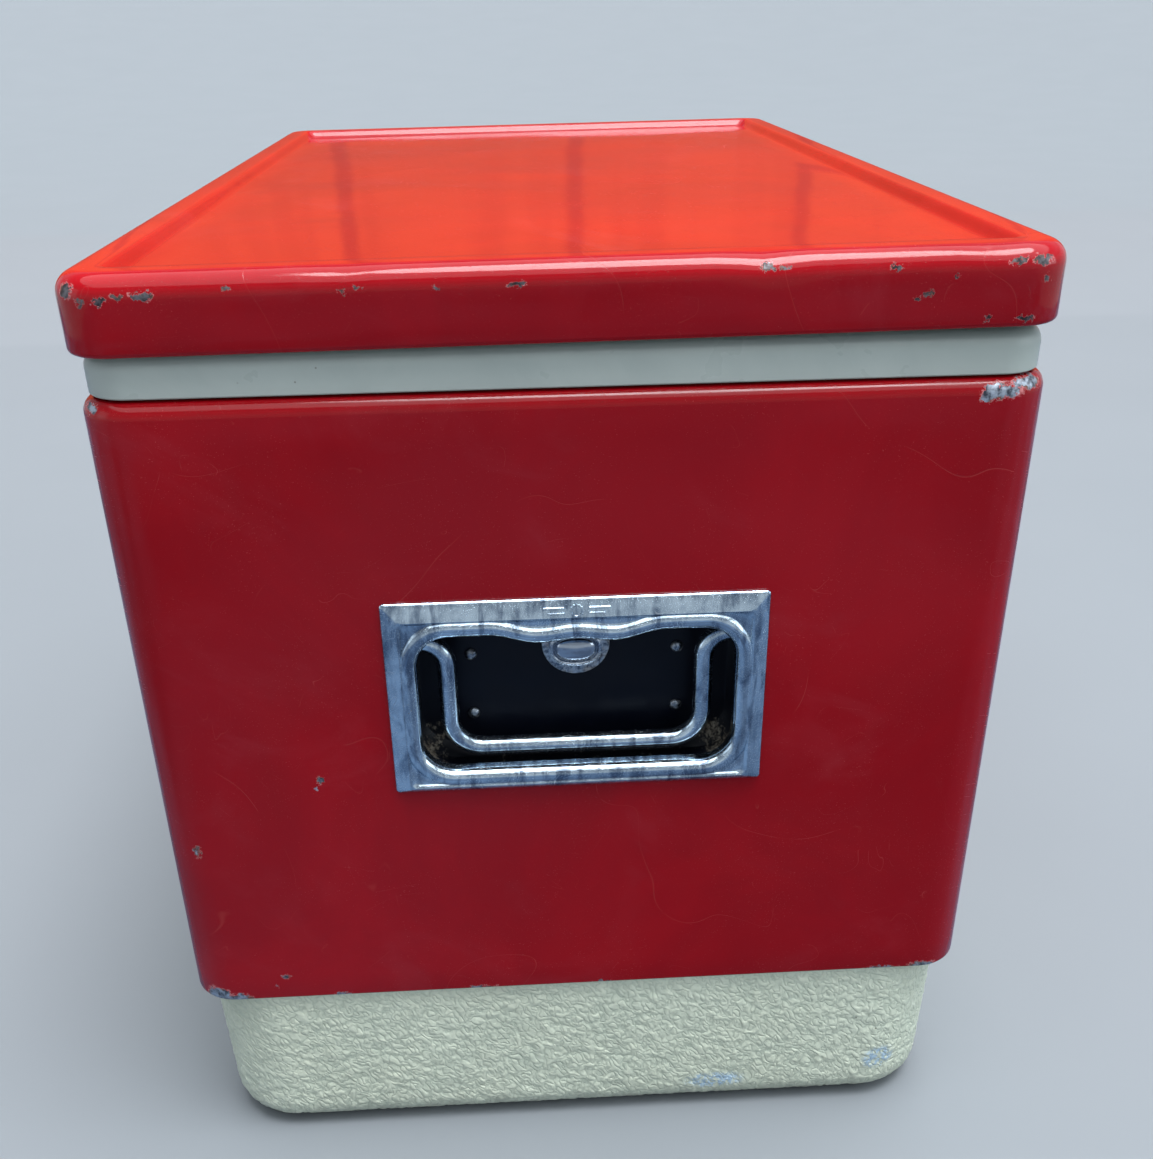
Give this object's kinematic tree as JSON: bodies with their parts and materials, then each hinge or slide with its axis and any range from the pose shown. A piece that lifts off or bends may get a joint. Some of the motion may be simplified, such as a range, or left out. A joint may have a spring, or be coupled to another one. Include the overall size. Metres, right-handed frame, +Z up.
{
  "type": "cooler chest",
  "caption": "Steel-jacketed insulated picnic cooler chest with a hinged red lid, a front latch, swing-out bail handles with bottle openers, a grained cream base and a drain.",
  "frame": {"origin": "centre of the flat underside of the base, on the surface the chest stands on", "axes": "+X along the length towards the end with the drain, -Y towards the front with the latch, +Y towards the hinges, +Z up"},
  "size_m": [0.5829, 0.3629, 0.3914],
  "materials": {
    "red_enamel": "gloss",
    "white_plastic": "satin",
    "cream_plastic": "satin",
    "foam": "matte",
    "bright_chrome": "polished",
    "zinc_steel": "satin",
    "worn_steel": "satin",
    "black_paint": "gloss",
    "seal_rubber": "matte"
  },
  "bodies": {
    "chest": {"handle_frame_left": "bright_chrome", "handle_cup_left": "black_paint", "cup_backing_plate_left": "zinc_steel", "opener_tongue_left": "worn_steel", "cup_rivet_left_1": "worn_steel", "cup_rivet_left_2": "worn_steel", "cup_rivet_left_3": "worn_steel", "cup_rivet_left_4": "worn_steel", "hinge_body_leaf_left": "zinc_steel", "hinge_pin_left": "zinc_steel", "hinge_body_screw_left_1": "zinc_steel", "hinge_body_screw_left_2": "zinc_steel", "handle_frame_right": "bright_chrome", "handle_cup_right": "black_paint", "cup_backing_plate_right": "zinc_steel", "opener_tongue_right": "worn_steel", "cup_rivet_right_1": "worn_steel", "cup_rivet_right_2": "worn_steel", "cup_rivet_right_3": "worn_steel", "cup_rivet_right_4": "worn_steel", "hinge_body_leaf_right": "zinc_steel", "hinge_pin_right": "zinc_steel", "hinge_body_screw_right_1": "zinc_steel", "hinge_body_screw_right_2": "zinc_steel", "base_pan": "cream_plastic", "steel_jacket": "red_enamel", "inner_liner": "white_plastic", "body_insulation": "foam", "latch_catch": "bright_chrome", "latch_catch_rivet_1": "zinc_steel", "latch_catch_rivet_2": "zinc_steel", "drain_spout": "white_plastic", "drain_nut": "white_plastic", "drain_gasket": "seal_rubber"},
    "lid": {"lid_shell": "red_enamel", "lid_liner": "white_plastic", "lid_insulation": "foam", "lid_gasket": "seal_rubber", "latch_bracket": "bright_chrome", "latch_pin": "zinc_steel", "latch_bracket_rivet_1": "zinc_steel", "latch_bracket_rivet_2": "zinc_steel", "hinge_lid_leaf_left": "zinc_steel", "hinge_lid_leaf_right": "zinc_steel", "hinge_lid_screw_left_1": "zinc_steel", "hinge_lid_screw_left_2": "zinc_steel", "hinge_lid_screw_right_1": "zinc_steel", "hinge_lid_screw_right_2": "zinc_steel"},
    "latch_lever": {"latch_lever": "bright_chrome"},
    "bail_left": {"bail_left": "bright_chrome"},
    "bail_right": {"bail_right": "bright_chrome"},
    "drain_cap": {"drain_cap": "white_plastic"}
  },
  "joints": [
    {"name": "lid_hinge", "type": "hinge", "parent": "chest", "child": "lid", "pos_m": [0, 0.1743, 0.3545], "axis": [-1, 0, 0], "range_deg": [0, 105]},
    {"name": "latch_pivot", "type": "hinge", "parent": "lid", "child": "latch_lever", "pos_m": [0, -0.17688, 0.37295], "axis": [-1, 0, 0], "range_deg": [0, 100]},
    {"name": "bail_left_swing", "type": "hinge", "parent": "chest", "child": "bail_left", "pos_m": [-0.2755, 0, 0.2495], "axis": [0, 1, 0], "range_deg": [-8, 100]},
    {"name": "bail_right_swing", "type": "hinge", "parent": "chest", "child": "bail_right", "pos_m": [0.2755, 0, 0.2495], "axis": [0, -1, 0], "range_deg": [-8, 100]},
    {"name": "drain_cap_pull", "type": "slide", "parent": "chest", "child": "drain_cap", "axis": [1, 0, 0], "range_m": [0, 0.03]}
  ]
}
